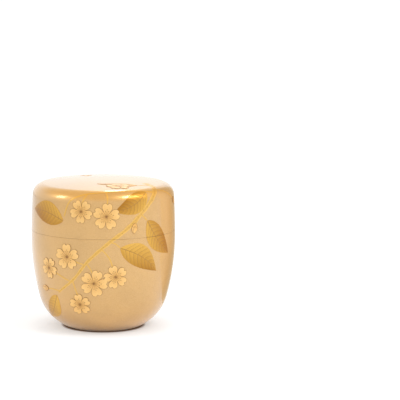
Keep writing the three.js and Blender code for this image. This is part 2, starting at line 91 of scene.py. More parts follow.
# Outer form: the radii and heights that the frame gives, then those that its boxes don't show
BODY_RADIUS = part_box("cup_gold_ground")[1].x
FOOT_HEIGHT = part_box("cup_gold_ground")[0].z
FOOT_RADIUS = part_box("foot_lacquer")[1].x
LEDGE_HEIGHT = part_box("cup_gold_ground")[1].z
RIM_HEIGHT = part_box("lid_gold_ground")[0].z
BODY_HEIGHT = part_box("lid_gold_ground")[1].z
SPIGOT_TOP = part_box("spigot_lacquer")[1].z
RECESS_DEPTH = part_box("base_lacquer")[0].z
SEAM_HEIGHT = (LEDGE_HEIGHT + RIM_HEIGHT) / 2
SEAM_LINE = 0.00006
CUP_TOP = SEAM_HEIGHT - SEAM_LINE / 2
LID_BOTTOM = SEAM_HEIGHT + SEAM_LINE / 2
BELLY_DROP = 0.003
BELLY_HEIGHT = SEAM_HEIGHT - BELLY_DROP
CORNER_RADIUS = 0.0208
TAPER_RADIUS = 0.11
SIDE_BOW_RADIUS = 0.324
SHOULDER_RADIUS = 0.0057
CROWN_RADIUS = 0.33

# Inner form, and the fit of the lid over the spigot
WELL_FLOOR_RADIUS = 0.018
FOOT_LAND = 0.0037
LID_THICKNESS = 0.0028
HOLLOW_FILLET = 0.0034
RIM_WIDTH = 0.002
FIT_CLEARANCE = 0.0002
SPIGOT_WALL = 0.0016
SOCKET_RADIUS = BODY_RADIUS - RIM_WIDTH
SPIGOT_RADIUS = SOCKET_RADIUS - FIT_CLEARANCE
WELL_RADIUS = SPIGOT_RADIUS - SPIGOT_WALL
RECESS_RADIUS = FOOT_RADIUS - FOOT_LAND

# Coats: their thickness, how they seat on each other, the small curves at their corners, and how far
# the foot's edge is cut under
GROUND_COAT = 0.0004
LINING_COAT = 0.0003
SPIGOT_COAT = 0.00025
RIM_COAT = 0.0003
BASE_COAT = 0.0004
FOOT_COAT_LIP = 0.0004
COAT_SEAT = 0.00002
EDGE_EASE = 0.00012
SEAM_EASE = 0.00003
FOOT_UNDERCUT = 0.0014
WELL_FLOOR_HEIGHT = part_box("cup_inner_lacquer")[0].z + LINING_COAT

# Fineness of what is turned: segments round the axis and steps along each stretch of a section; and the
# bend, in degrees, from which an edge is shaded as sharp
TURN_STEPS = 256
CORNER_STEPS = 36
TAPER_STEPS = 20
BOW_STEPS = 16
SHOULDER_STEPS = 28
CROWN_STEPS = 20
WELL_STEPS = 32
FILLET_STEPS = 12
EASE_STEPS = 4
SHARP_ANGLE = 32

# Raised gold: a motif's height over the ground in its middle and at its edge, how much higher leaves and
# blossoms lie, how far a drawn line stands off the gold, and how deep all are rooted in the ground
RELIEF_LIFT = 0.00008
RELIEF_EDGE = 0.00004
LEAF_LAYER = 0.00005
BLOSSOM_LAYER = 0.00012
INK_LIFT = 0.000015
RELIEF_ROOT = 0.00002

# Motifs
BLOSSOM_RADIUS = 0.006
LEAF_LENGTH = 0.022
LEAF_WIDTH = 0.0104
LEAF_TIP_WIDTH = 0.0003
LEAF_BOW = 0.0016
LEAF_TOOTH = 0.00028
BUD_LENGTH = 0.005
BUD_WIDTH = 0.003
PETAL_RADIUS = 0.0027
BRANCH_WIDTH = 0.0024
BRANCH_TIP_WIDTH = 0.0011
TWIG_WIDTH = 0.0009
STALK_WIDTH = 0.0006
RIBBON_STEP = 0.0004

# Drawn lines on the motifs
OUTLINE_WIDTH = 0.00014
RIB_WIDTH = 0.00024
VEIN_WIDTH = 0.00012
STAMEN_WIDTH = 0.0001
ANTHER_RADIUS = 0.00018
EYE_RADIUS = 0.00055

QUARTER = math.pi / 2
MERGE_DISTANCE = 1e-7


# Sections of the turned pieces, as points of radius and height


def arc(centre, reach, start, end, steps):
    """Points along part of an ellipse, from one angle to another."""
    angles = np.linspace(start, end, steps + 1)
    return np.array(centre) + np.column_stack((reach[0] * np.cos(angles), reach[1] * np.sin(angles)))


def circle_arc(centre, radius, start, end, steps):
    return arc(centre, (radius, radius), start, end, steps)


def nested_centre(centre_a, reach_a, centre_b, reach_b):
    """The centre of a circle that lies at two distances from two points, on the outer side."""
    between = centre_b - centre_a
    apart = np.hypot(*between)
    along = (reach_a**2 - reach_b**2 + apart**2) / (2 * apart)
    across = math.sqrt(reach_a**2 - along**2)
    way = between / apart
    foot = centre_a + way * along
    square = np.array((way[1], -way[0])) * across
    return max(foot + square, foot - square, key=lambda point: point[0])


def angle_from(centre, point):
    return math.atan2(point[1] - centre[1], point[0] - centre[0])


FOOT_EDGE = np.array((FOOT_RADIUS, FOOT_HEIGHT))
TAPER_CENTRE = np.array((BODY_RADIUS - TAPER_RADIUS, BELLY_HEIGHT))
CORNER_CENTRE = nested_centre(TAPER_CENTRE, TAPER_RADIUS - CORNER_RADIUS, FOOT_EDGE, CORNER_RADIUS)
CORNER_START = angle_from(CORNER_CENTRE, FOOT_EDGE)
CORNER_END = angle_from(TAPER_CENTRE, CORNER_CENTRE)
BOW_CENTRE = np.array((BODY_RADIUS - SIDE_BOW_RADIUS, BELLY_HEIGHT))
CROWN_CENTRE = np.array((0, BODY_HEIGHT - CROWN_RADIUS))
SHOULDER_CENTRE = nested_centre(
    BOW_CENTRE, SIDE_BOW_RADIUS - SHOULDER_RADIUS, CROWN_CENTRE, CROWN_RADIUS - SHOULDER_RADIUS
)
BOW_END = angle_from(BOW_CENTRE, SHOULDER_CENTRE)
CROWN_START = angle_from(CROWN_CENTRE, SHOULDER_CENTRE)


def chain(*arcs):
    """Arcs end to end, without the points that they share; the last one ends on the axis."""
    points = np.vstack([arcs[0]] + [points[1:] for points in arcs[1:]])
    points[-1, 0] = 0
    return points


def outside(inset=0):
    """The outside from the foot to the middle of the crown, drawn in by an inset."""
    return chain(
        circle_arc(CORNER_CENTRE, CORNER_RADIUS - inset, CORNER_START, CORNER_END, CORNER_STEPS),
        circle_arc(TAPER_CENTRE, TAPER_RADIUS - inset, CORNER_END, 0, TAPER_STEPS),
        circle_arc(BOW_CENTRE, SIDE_BOW_RADIUS - inset, 0, BOW_END, BOW_STEPS),
        circle_arc(SHOULDER_CENTRE, SHOULDER_RADIUS - inset, BOW_END, CROWN_START, SHOULDER_STEPS),
        circle_arc(CROWN_CENTRE, CROWN_RADIUS - inset, CROWN_START, QUARTER, CROWN_STEPS),
    )


def stretch(points, low, high):
    """The part of a rising outline between two heights, cut at both."""
    inner = points[(points[:, 1] > low) & (points[:, 1] < high)]
    ends = [(np.interp(level, points[:, 1], points[:, 0]), level) for level in (low, high)]
    return np.vstack((ends[0], inner, ends[1]))


def cup_outside(inset):
    points = outside(inset)
    return stretch(points, points[0, 1], CUP_TOP)


def lid_outside(inset):
    return stretch(outside(inset), LID_BOTTOM, BODY_HEIGHT - inset)


def well(outset):
    """The well from the middle of its floor to the spigot's top, moved out into the wood."""
    reach = (WELL_RADIUS - WELL_FLOOR_RADIUS + outset, BELLY_HEIGHT - WELL_FLOOR_HEIGHT + outset)
    floor = arc((WELL_FLOOR_RADIUS, BELLY_HEIGHT), reach, -QUARTER, 0, WELL_STEPS)
    return np.vstack(((0, WELL_FLOOR_HEIGHT - outset), floor, (WELL_RADIUS + outset, SPIGOT_TOP)))


def hollow(outset, bottom):
    """The lid's hollow from its mouth to the middle of its ceiling, moved out into the wood."""
    ceiling = CROWN_RADIUS - LID_THICKNESS
    across = SOCKET_RADIUS - HOLLOW_FILLET
    up = math.sqrt((ceiling - HOLLOW_FILLET) ** 2 - across**2)
    centre = np.array((across, CROWN_CENTRE[1] + up))
    start = angle_from(CROWN_CENTRE, centre)
    ceiling_arcs = chain(
        circle_arc(centre, HOLLOW_FILLET + outset, 0, start, FILLET_STEPS),
        circle_arc(CROWN_CENTRE, ceiling + outset, start, QUARTER, CROWN_STEPS),
    )
    return np.vstack(((SOCKET_RADIUS + outset, bottom), ceiling_arcs))


def eased(section, *corners, ease=EDGE_EASE):
    """A section with a small curve in place of some of its corners."""
    section = np.array(section, float)
    share = np.linspace(0, 1, EASE_STEPS + 1)[:, None]
    points = []
    for index, corner in enumerate(section):
        if index not in corners:
            points.append(corner[None])
            continue
        to_last = section[index - 1] - corner
        to_next = section[(index + 1) % len(section)] - corner
        start = corner + to_last / np.hypot(*to_last) * ease
        end = corner + to_next / np.hypot(*to_next) * ease
        points.append((1 - share) ** 2 * start + 2 * share * (1 - share) * corner + share**2 * end)
    return np.vstack(points)


# Meshes


def grid_faces(rows, columns, wrap_rows=False, wrap_columns=False):
    """Four-sided faces over a grid of points, row after row."""
    row = np.arange(rows if wrap_rows else rows - 1)[:, None]
    column = np.arange(columns if wrap_columns else columns - 1)[None]
    next_row = (row + 1) % rows
    next_column = (column + 1) % columns
    corners = (
        row * columns + column,
        row * columns + next_column,
        next_row * columns + next_column,
        next_row * columns + column,
    )
    return np.stack(np.broadcast_arrays(*corners), axis=-1).reshape(-1, 4)


def clean(mesh, level=None, keep_above=True):
    """Merges what coincides, cuts the mesh at a level if one is given, and points its faces out."""
    shape = bmesh.new()
    shape.from_mesh(mesh)
    bmesh.ops.remove_doubles(shape, verts=shape.verts, dist=MERGE_DISTANCE)
    if level is not None:
        bmesh.ops.bisect_plane(
            shape,
            geom=[*shape.verts, *shape.edges, *shape.faces],
            plane_co=(0, 0, level),
            plane_no=(0, 0, 1),
            clear_inner=keep_above,
            clear_outer=not keep_above,
        )
        bmesh.ops.holes_fill(shape, edges=[edge for edge in shape.edges if edge.is_boundary])
    bmesh.ops.recalc_face_normals(shape, faces=shape.faces)
    shape.to_mesh(mesh)
    shape.free()
    mesh.shade_smooth()
    mesh.set_sharp_from_angle(angle=math.radians(SHARP_ANGLE))


def add_piece(name, mesh, materials, body, nodes):
    """A piece that rides on a body and stands for nodes of the frame."""
    for material in materials:
        mesh.materials.append(material)
    piece = bpy.data.objects.new(name, mesh)
    bpy.context.scene.collection.objects.link(piece)
    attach(piece, body)
    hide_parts(*nodes)


def add_turned(node, section, material, body):
    """A solid turned about the upright axis from a section that closes on itself or on the axis."""
    on_axis = section[0][0] == 0 and section[-1][0] == 0
    turns = np.linspace(0, math.tau, TURN_STEPS, endpoint=False)
    radius, height = section[:, :1], section[:, 1:]
    rings = np.broadcast_arrays(radius * np.sin(turns), -radius * np.cos(turns), height)
    points = np.stack(rings, axis=-1).reshape(-1, 3)
    faces = grid_faces(len(section), TURN_STEPS, wrap_rows=not on_axis, wrap_columns=True)
    mesh = bpy.data.meshes.new(node)
    mesh.from_pydata(points.tolist(), [], faces.tolist())
    clean(mesh)
    add_piece(f"{node}_smooth", mesh, [material], body, [node])


# Materials


def new_material(name, **settings):
    """A material whose shader takes the settings that are the same all over the surface."""
    material = bpy.data.materials.new(name)
    material.use_nodes = True
    shader = material.node_tree.nodes["Principled BSDF"]
    for label, value in settings.items():
        shader.inputs[label.replace("_", " ")].default_value = value
    return material, material.node_tree, shader


def feed(tree, socket, value):
    """Gives a socket what another node puts out, or a plain value."""
    if isinstance(value, bpy.types.NodeSocket):
        tree.links.new(value, socket)
    else:
        socket.default_value = value


def add_node(tree, kind, inputs=(), **settings):
    """A node with its settings and with its inputs, each fed by an output or a plain value."""
    node = tree.nodes.new(kind)
    for label, value in settings.items():
        setattr(node, label, value)
    for label, value in dict(inputs).items():
        feed(tree, node.inputs[label], value)
    return node


def add_place(tree):
    """The place of each point in the frame's own coordinates."""
    return add_node(tree, "ShaderNodeTexCoord").outputs["Object"]


def add_axis(tree, place, axis):
    return add_node(tree, "ShaderNodeSeparateXYZ", {"Vector": place}).outputs[axis]


def add_ramp(tree, factor, stops):
    """A colour ramp through places and linear colours."""
    node = add_node(tree, "ShaderNodeValToRGB", {"Fac": factor})
    elements = node.color_ramp.elements
    while len(elements) < len(stops):
        elements.new(1)
    for element, (place, colour) in zip(elements, stops):
        element.position = place
        element.color = (*colour, 1)
    return node.outputs["Color"]


def add_range(tree, value, low, high, from_low=0.0, from_high=1.0, **settings):
    """A value brought from one range into another."""
    inputs = {"Value": value, "From Min": from_low, "From Max": from_high, "To Min": low, "To Max": high}
    return add_node(tree, "ShaderNodeMapRange", inputs, **settings).outputs["Result"]


def add_noise(tree, scale, detail):
    inputs = {"Vector": add_place(tree), "Scale": scale, "Detail": detail}
    return add_node(tree, "ShaderNodeTexNoise", inputs).outputs["Fac"]


def add_mix(tree, factor, first, second, blend_type="MIX"):
    """Two colours mixed; the factor and the colours are each an output or a plain value."""
    node = add_node(tree, "ShaderNodeMix", data_type="RGBA", blend_type=blend_type)
    for label, value in (("Factor", factor), ("A", first), ("B", second)):
        kind = "VALUE" if label == "Factor" else "RGBA"
        socket = next(item for item in node.inputs if item.name == label and item.type == kind)
        feed(tree, socket, value)
    return next(item for item in node.outputs if item.type == "RGBA")


def add_bump(tree, shader, height, strength, distance):
    """Roughens what lies under the clear coat, which itself stays smooth."""
    inputs = {"Height": height, "Strength": strength, "Distance": distance}
    bump = add_node(tree, "ShaderNodeBump", inputs)
    tree.links.new(bump.outputs["Normal"], shader.inputs["Normal"])


# Finishes: scales are in grains a metre, a bump has its strength and its height, and a list of stops
# has places and linear colours
COAT_IOR = 1.5
POWDER_SCALE = 6500
POWDER_DETAIL = 1.0
MOTTLE_SCALE = 75
MOTTLE_DETAIL = 3.0
MOTTLE_STOPS = [(0.35, (0.93, 0.93, 0.93)), (0.65, (1, 1, 1))]
GROUND_STOPS = [(0.3, (0.58, 0.325, 0.105)), (0.7, (0.745, 0.475, 0.19))]
GROUND_ROUGHNESS = (0.3, 0.4)
GROUND_BUMP = (0.25, 0.00002)
MOTIF_GRAIN_STOPS = [(0.3, (0.84, 0.82, 0.78)), (0.7, (1, 1, 1))]
MOTIF_ROUGHNESS = (0.3, 0.42)
MOTIF_BUMP = (0.3, 0.00002)
INK_STOPS = [(0.3, (0.24, 0.10, 0.02)), (0.7, (0.40, 0.20, 0.05))]
FLAKE_SCALE = 1500
FLAKE_STOPS = [(0.0, (0.20, 0.075, 0.014)), (0.45, (0.30, 0.12, 0.024)), (0.62, (0.72, 0.44, 0.13))]
FLAKE_METALLIC = (0.1, 0.9)
FLAKE_ROUGHNESS = (0.5, 0.25)
FLAKE_BUMP = (0.3, 0.00004)
WOOD_RINGS = {"Scale": 160, "Distortion": 3.0, "Detail": 3.0, "Detail Scale": 1.4}
WOOD_FIBRE_SCALE = 1400
WOOD_FIBRE_DETAIL = 4.0
WOOD_FIBRE_SHARE = 0.35
WOOD_STOPS = [(0.2, (0.30, 0.17, 0.07)), (0.8, (0.52, 0.33, 0.16))]
WOOD_BUMP = (0.2, 0.00005)


def gold_ground():
    """Fine pinkish gold powder, laid even and close, under polished clear lacquer."""
    material, tree, shader = new_material(
        "gold_ground", Metallic=0.72, Coat_Weight=1.0, Coat_Roughness=0.05, Coat_IOR=COAT_IOR
    )
    powder = add_noise(tree, POWDER_SCALE, POWDER_DETAIL)
    mottle = add_noise(tree, MOTTLE_SCALE, MOTTLE_DETAIL)
    grain = add_ramp(tree, powder, GROUND_STOPS)
    cloud = add_ramp(tree, mottle, MOTTLE_STOPS)
    colour = add_mix(tree, 1.0, grain, cloud, "MULTIPLY")
    tree.links.new(colour, shader.inputs["Base Color"])
    tree.links.new(add_range(tree, mottle, *GROUND_ROUGHNESS), shader.inputs["Roughness"])
    add_bump(tree, shader, powder, *GROUND_BUMP)
    return material


def motif_gold(name, deep, pale, coat):
    """Burnished gold powder over raised lacquer, from a deep tone to a pale one."""
    material, tree, shader = new_material(
        name, Metallic=0.8, Coat_Weight=coat, Coat_Roughness=0.08, Coat_IOR=COAT_IOR
    )
    tone = add_node(tree, "ShaderNodeAttribute", attribute_name="tone").outputs["Fac"]
    powder = add_noise(tree, POWDER_SCALE, POWDER_DETAIL)
    colour = add_ramp(tree, tone, [(0.0, deep), (1.0, pale)])
    grain = add_ramp(tree, powder, MOTIF_GRAIN_STOPS)
    colour = add_mix(tree, 1.0, colour, grain, "MULTIPLY")
    tree.links.new(colour, shader.inputs["Base Color"])
    tree.links.new(add_range(tree, powder, *MOTIF_ROUGHNESS), shader.inputs["Roughness"])
    add_bump(tree, shader, powder, *MOTIF_BUMP)
    return material


def ink():
    """Fine drawn lines of dark lacquer, dusted with gold."""
    material, tree, shader = new_material("ink_line", Metallic=0.4, Roughness=0.4, Coat_Weight=0.3)
    powder = add_noise(tree, POWDER_SCALE, POWDER_DETAIL)
    tree.links.new(add_ramp(tree, powder, INK_STOPS), shader.inputs["Base Color"])
    return material


def pear_skin():
    """Amber lacquer with gold flakes at all angles, deep under a polished surface."""
    material, tree, shader = new_material(
        "pear_skin_lacquer", Coat_Weight=1.0, Coat_Roughness=0.04, Coat_IOR=COAT_IOR
    )
    cells = add_node(tree, "ShaderNodeTexVoronoi", {"Vector": add_place(tree), "Scale": FLAKE_SCALE})
    flake = add_node(tree, "ShaderNodeSeparateColor", {"Color": cells.outputs["Color"]}).outputs["Red"]
    tree.links.new(add_ramp(tree, flake, FLAKE_STOPS), shader.inputs["Base Color"])
    for label, ends in (("Metallic", FLAKE_METALLIC), ("Roughness", FLAKE_ROUGHNESS)):
        tree.links.new(add_range(tree, flake, *ends), shader.inputs[label])
    add_bump(tree, shader, flake, *FLAKE_BUMP)
    return material


def turned_wood():
    """Fine-grained wood, with its growth rings in upright layers, a little wavy."""
    material, tree, shader = new_material("turned_wood", Roughness=0.75)
    inputs = {"Vector": add_place(tree), **WOOD_RINGS}
    wave = add_node(tree, "ShaderNodeTexWave", inputs, wave_type="BANDS", bands_direction="X")
    rings = wave.outputs["Fac"]
    fibre = add_noise(tree, WOOD_FIBRE_SCALE, WOOD_FIBRE_DETAIL)
    grain = add_mix(tree, WOOD_FIBRE_SHARE, rings, fibre)
    tree.links.new(add_ramp(tree, grain, WOOD_STOPS), shader.inputs["Base Color"])
    add_bump(tree, shader, grain, *WOOD_BUMP)
    return material


GROUND_GOLD = gold_ground()
PEAR_SKIN = pear_skin()
WOOD = turned_wood()
INK = ink()
LEAF_GOLD = motif_gold("leaf_gold", deep=(0.44, 0.19, 0.012), pale=(0.80, 0.47, 0.09), coat=0.3)
BLOSSOM_GOLD = motif_gold("blossom_gold", deep=(0.78, 0.42, 0.11), pale=(0.98, 0.64, 0.25), coat=0.5)
BRANCH_GOLD = motif_gold("branch_gold", deep=(0.62, 0.32, 0.05), pale=(0.90, 0.58, 0.16), coat=0.4)

# The turned pieces: every coat over the wood, and the wood itself as the frame has it
for core in ("cup_core", "lid_core"):
    for slot in frame["nodes"][core].material_slots:
        slot.material = WOOD


def add_cup_ground():
    outer, inner = cup_outside(0), cup_outside(GROUND_COAT)
    section = eased(np.vstack((outer, inner[::-1])), len(outer) - 1, ease=SEAM_EASE)
    add_turned("cup_gold_ground", section, GROUND_GOLD, "cup")


def add_well_lining():
    near, far = well(0), well(LINING_COAT)
    section = eased(np.vstack((near, far[::-1])), len(near) - 1)
    add_turned("cup_inner_lacquer", section, PEAR_SKIN, "cup")


def add_spigot_coat():
    """The coat over the ledge, up the spigot and over its top."""
    ledge_end = cup_outside(GROUND_COAT)[-1, 0] - COAT_SEAT
    cap = WELL_RADIUS + LINING_COAT + COAT_SEAT
    spigot = [
        (ledge_end, LEDGE_HEIGHT - SPIGOT_COAT),
        (ledge_end, LEDGE_HEIGHT),
        (SPIGOT_RADIUS, LEDGE_HEIGHT),
        (SPIGOT_RADIUS, SPIGOT_TOP),
        (cap, SPIGOT_TOP),
        (cap, SPIGOT_TOP - SPIGOT_COAT),
        (SPIGOT_RADIUS - SPIGOT_COAT, SPIGOT_TOP - SPIGOT_COAT),
        (SPIGOT_RADIUS - SPIGOT_COAT, LEDGE_HEIGHT - SPIGOT_COAT),
    ]
    add_turned("spigot_lacquer", eased(spigot, 3), GROUND_GOLD, "cup")


def add_foot_coats():
    """The coat over the foot's land, and the one in the shallow recess within it."""
    foot_top = FOOT_HEIGHT - COAT_SEAT
    base_top = RECESS_DEPTH + BASE_COAT
    lip = RECESS_RADIUS + FOOT_COAT_LIP
    foot = [
        (RECESS_RADIUS, 0),
        (FOOT_RADIUS - FOOT_UNDERCUT, 0),
        (FOOT_RADIUS, foot_top),
        (lip, foot_top),
        (lip, base_top),
        (RECESS_RADIUS, base_top),
    ]
    add_turned("foot_lacquer", eased(foot, 0, 1), GROUND_GOLD, "cup")

    edge = RECESS_RADIUS - COAT_SEAT
    base = np.array([(0, RECESS_DEPTH), (edge, RECESS_DEPTH), (edge, base_top), (0, base_top)])
    add_turned("base_lacquer", base, PEAR_SKIN, "cup")


def add_lid_ground():
    outer, inner = lid_outside(0), lid_outside(GROUND_COAT)
    section = eased(np.vstack((inner[::-1], outer)), len(inner), ease=SEAM_EASE)
    add_turned("lid_gold_ground", section, GROUND_GOLD, "lid")


def add_lid_lining():
    bottom = RIM_HEIGHT + RIM_COAT + COAT_SEAT
    near, far = hollow(0, bottom), hollow(LINING_COAT, bottom)
    section = np.vstack((near[::-1], far))
    add_turned("lid_inner_lacquer", section, PEAR_SKIN, "lid")


def add_rim_coat():
    rim_end = lid_outside(GROUND_COAT)[0, 0] - COAT_SEAT
    rim = [
        (SOCKET_RADIUS, RIM_HEIGHT),
        (rim_end, RIM_HEIGHT),
        (rim_end, RIM_HEIGHT + RIM_COAT),
        (SOCKET_RADIUS, RIM_HEIGHT + RIM_COAT),
    ]
    add_turned("lid_rim_lacquer", eased(rim, 0), GROUND_GOLD, "lid")


add_cup_ground()
add_well_lining()
add_spigot_coat()
add_foot_coats()
add_lid_ground()
add_lid_lining()
add_rim_coat()


# Places on the ground: a turn about the axis from the front, and a rise, the distance from the foot
# up the outside. Rise shares run from 0 at the foot to 1 at the seam, and on to 2 in mid crown.
GROUND_LINE = outside()
GROUND_STEPS = np.diff(GROUND_LINE, axis=0)
GROUND_RISES = np.concatenate(([0], np.cumsum(np.hypot(*GROUND_STEPS.T))))
GROUND_WAYS = np.gradient(GROUND_LINE, GROUND_RISES, axis=0)
CUP_RISE = np.interp(SEAM_HEIGHT, GROUND_LINE[:, 1], GROUND_RISES)
LID_RISE = GROUND_RISES[-1] - CUP_RISE


def rise_of(share):
    return np.minimum(share, 1) * CUP_RISE + np.maximum(share - 1, 0) * LID_RISE


def ground_radius(rise):
    return np.interp(rise, GROUND_RISES, GROUND_LINE[:, 0])


def over_ground(turn, rise, lift):
    """Points at a lift off the outside."""
    foot = [np.interp(rise, GROUND_RISES, line) for line in GROUND_LINE.T]
    way = [np.interp(rise, GROUND_RISES, line) for line in GROUND_WAYS.T]
    steepness = np.hypot(*way)
    radius = foot[0] + way[1] / steepness * lift
    height = foot[1] - way[0] / steepness * lift
    return np.stack((radius * np.sin(turn), -radius * np.cos(turn), height), axis=-1)


def moved(turn, rise, across, up):
    """A place moved across and up along the ground by real distances."""
    return turn + across / ground_radius(rise + up), rise + up


def steps_along(turn, rise):
    """The real distances across and up from each place in a line to the next."""
    return np.gradient(turn) * ground_radius(rise), np.gradient(rise)


def smooth_way(corners, steps, closed=False):
    """A smooth curve through corners, with so many steps from each to the next."""
    corners = np.array(corners, float)
    count = len(corners)
    share = np.linspace(0, 1, steps, endpoint=False)[:, None]
    pieces = []
    for index in range(count if closed else count - 1):
        around = np.arange(index - 1, index + 3)
        p0, p1, p2, p3 = corners[around % count if closed else np.clip(around, 0, count - 1)]
        v1, v2 = (p2 - p0) / 2, (p3 - p1) / 2
        pieces.append(
            (2 * p1 - 2 * p2 + v1 + v2) * share**3
            + (3 * p2 - 3 * p1 - 2 * v1 - v2) * share**2
            + v1 * share
            + p1
        )
    if not closed:
        pieces.append(corners[-1:])
    return np.vstack(pieces)


def leaned(across, up, lean):
    """Flat points turned clockwise from upright."""
    turned_by = math.radians(lean)
    cos, sin = math.cos(turned_by), math.sin(turned_by)
    return across * cos + up * sin, up * cos - across * sin


# A drawn line's places from one side to the other and how far it falls from its middle to its sides,
# and a dot's corners, the reach of each of its rings and how far it stands up at each
STROKE_SIDE_SHARES = np.array((-1, -0.6, 0, 0.6, 1))
STROKE_FALL_SHARE = 0.65
DOT_STEPS = 12
DOT_RING_SHARES = np.array((0, 0.6, 1))[:, None]
DOT_RISE_SHARES = np.array((1.6, 1.17, 0.4))[:, None]

# A tone of gold runs from 0, deep, to 1, pale; drawn lines have none of their own
LINE_TONE = 0.5


class Relief:
    """A raised motif in the making: patches of gold and drawn lines, each closed all round."""

    def __init__(self):
        self.points, self.tones, self.faces, self.inks = [], [], [], []
        self.count = 0

    def patch(self, place, lift, tone, ring=False, inked=False):
        """A grid of rows over the ground; a ring grid runs round its first row, which is its middle."""
        turn, rise, lift, tone = np.broadcast_arrays(*place, lift, tone)
        rows, columns = turn.shape
        size = rows * columns
        tops = over_ground(turn, rise, lift).reshape(-1, 3)
        unders = over_ground(turn, rise, -RELIEF_ROOT).reshape(-1, 3)
        number = np.arange(size).reshape(rows, columns)
        rim = number[-1]
        if not ring:
            rim = np.concatenate((number[0], number[1:, -1], number[-1, -2::-1], number[-2:0:-1, 0]))
        beside = np.roll(rim, -1)
        walls = np.column_stack((rim, beside, beside + size, rim + size))
        faces = grid_faces(rows, columns, wrap_columns=ring)
        faces = np.vstack((faces, faces[:, ::-1] + size, walls)) + self.count
        self.points.append(np.vstack((tops, unders)))
        self.tones.append(np.tile(tone.reshape(-1), 2))
        self.faces.append(faces)
        self.inks.append(np.full(len(faces), int(inked)))
        self.count += 2 * size

    def stroke(self, place, lift, width, ridge=INK_LIFT, tone=LINE_TONE, closed=False, inked=True):
        """A ribbon along a line of places, higher along its middle than at its sides."""
        lines = [np.array(line, float) for line in np.broadcast_arrays(*place, lift, width)]
        if closed:
            # It runs on past its ends for the steps there, and is then cut back to end where it began
            lines = [np.concatenate((line[-2:], line, line[:2])) for line in lines]
        turn, rise, lift, width = lines
        step_across, step_up = steps_along(turn, rise)
        if closed:
            lines = (line[2:-1] for line in (turn, rise, lift, width, step_across, step_up))
            turn, rise, lift, width, step_across, step_up = lines
        half = width / 2 / np.hypot(step_across, step_up)
        across, up = step_up * half, -step_across * half
        sides = STROKE_SIDE_SHARES
        place = moved(turn[:, None], rise[:, None], across[:, None] * sides, up[:, None] * sides)
        self.patch(place, lift[:, None] + ridge * (1 - STROKE_FALL_SHARE * sides**2), tone, inked=inked)

    def dot(self, place, lift, radius):
        """A small round bead of lacquer."""
        turns = np.linspace(0, math.tau, DOT_STEPS, endpoint=False)
        reach = radius * DOT_RING_SHARES
        around = moved(*place, reach * np.cos(turns), reach * np.sin(turns))
        self.patch(around, lift + INK_LIFT * DOT_RISE_SHARES, LINE_TONE, ring=True, inked=True)

    def finish(self, name, gold, body, node, level, keep_above):
        """Makes the piece, cut at a level if one is given."""
        mesh = bpy.data.meshes.new(name)
        mesh.from_pydata(np.vstack(self.points).tolist(), [], np.vstack(self.faces).tolist())
        mesh.polygons.foreach_set("material_index", np.concatenate(self.inks))
        tones = mesh.attributes.new("tone", "FLOAT", "POINT")
        tones.data.foreach_set("value", np.concatenate(self.tones))
        clean(mesh, level, keep_above)
        add_piece(name, mesh, [gold, INK], body, [node])


# Blossoms
PETAL_COUNT = 5
PETAL_OUTLINE_SHARES = [
    (-1, 0.36), (-0.88, 0.72), (-0.58, 0.94), (-0.22, 1),
    (0, 0.88), (0.22, 1), (0.58, 0.94), (0.88, 0.72),
]
OUTLINE_STEPS = 4
BLOSSOM_RING_SHARES = np.array((0, 0.12, 0.24, 0.36, 0.48, 0.6, 0.72, 0.83, 0.92, 0.97, 1))[:, None]
PARTING_SHARE = 0.36
STAMEN_SHARES = ((-0.42, 0.42), (0, 0.52), (0.42, 0.42))
STAMEN_POINTS = 6
PETAL_SWELL_POWER = 0.6
PETAL_DOME_POWER = 4
EYE_TONE = 0.15
PETAL_PALING = 0.75
PETAL_SIDE_DEEPENING = 0.4


def draw_blossom(relief, turn, rise, spec):
    reach = BLOSSOM_RADIUS * spec["size_share"]
    half_petal = math.pi / PETAL_COUNT
    spin = math.radians(spec["spin"])

    def at(angle, radius):
        return moved(turn, rise, radius * np.cos(angle), radius * np.sin(angle))

    corners = [
        (spin + half_petal * (2 * petal + turn_share), reach * reach_share)
        for petal in range(PETAL_COUNT)
        for turn_share, reach_share in PETAL_OUTLINE_SHARES
    ]
    flat = [(radius * math.cos(angle), radius * math.sin(angle)) for angle, radius in corners]
    edge = smooth_way(flat, OUTLINE_STEPS, closed=True)
    angles, radii = np.arctan2(edge[:, 1], edge[:, 0]), np.hypot(*edge.T)
    in_petal = np.abs(((angles - spin) / half_petal + 1) % 2 - 1)
    dome = 1 - BLOSSOM_RING_SHARES**PETAL_DOME_POWER
    swell = np.cos(in_petal * QUARTER) ** PETAL_SWELL_POWER * dome
    lift = BLOSSOM_LAYER + RELIEF_EDGE + (RELIEF_LIFT - RELIEF_EDGE) * swell
    paling = PETAL_PALING * BLOSSOM_RING_SHARES * (1 - PETAL_SIDE_DEEPENING * in_petal**2)
    relief.patch(at(angles, radii * BLOSSOM_RING_SHARES), lift, EYE_TONE + paling, ring=True)

    rim = BLOSSOM_LAYER + RELIEF_EDGE
    top = BLOSSOM_LAYER + RELIEF_LIFT
    relief.stroke(at(angles, radii - OUTLINE_WIDTH / 2), rim, OUTLINE_WIDTH, closed=True)
    for petal in range(PETAL_COUNT):
        parting = spin + half_petal * (2 * petal + 1)
        radii = np.linspace(EYE_RADIUS, reach * PARTING_SHARE, STAMEN_POINTS)
        relief.stroke(at(parting, radii), top, OUTLINE_WIDTH)
        for turn_share, reach_share in STAMEN_SHARES:
            angle = spin + half_petal * (2 * petal + turn_share)
            radii = np.linspace(EYE_RADIUS, reach * reach_share, STAMEN_POINTS)
            relief.stroke(at(angle, radii), top, STAMEN_WIDTH)
            relief.dot(at(angle, radii[-1]), top, ANTHER_RADIUS)
    relief.dot((turn, rise), top, EYE_RADIUS)


# Buds and fallen petals


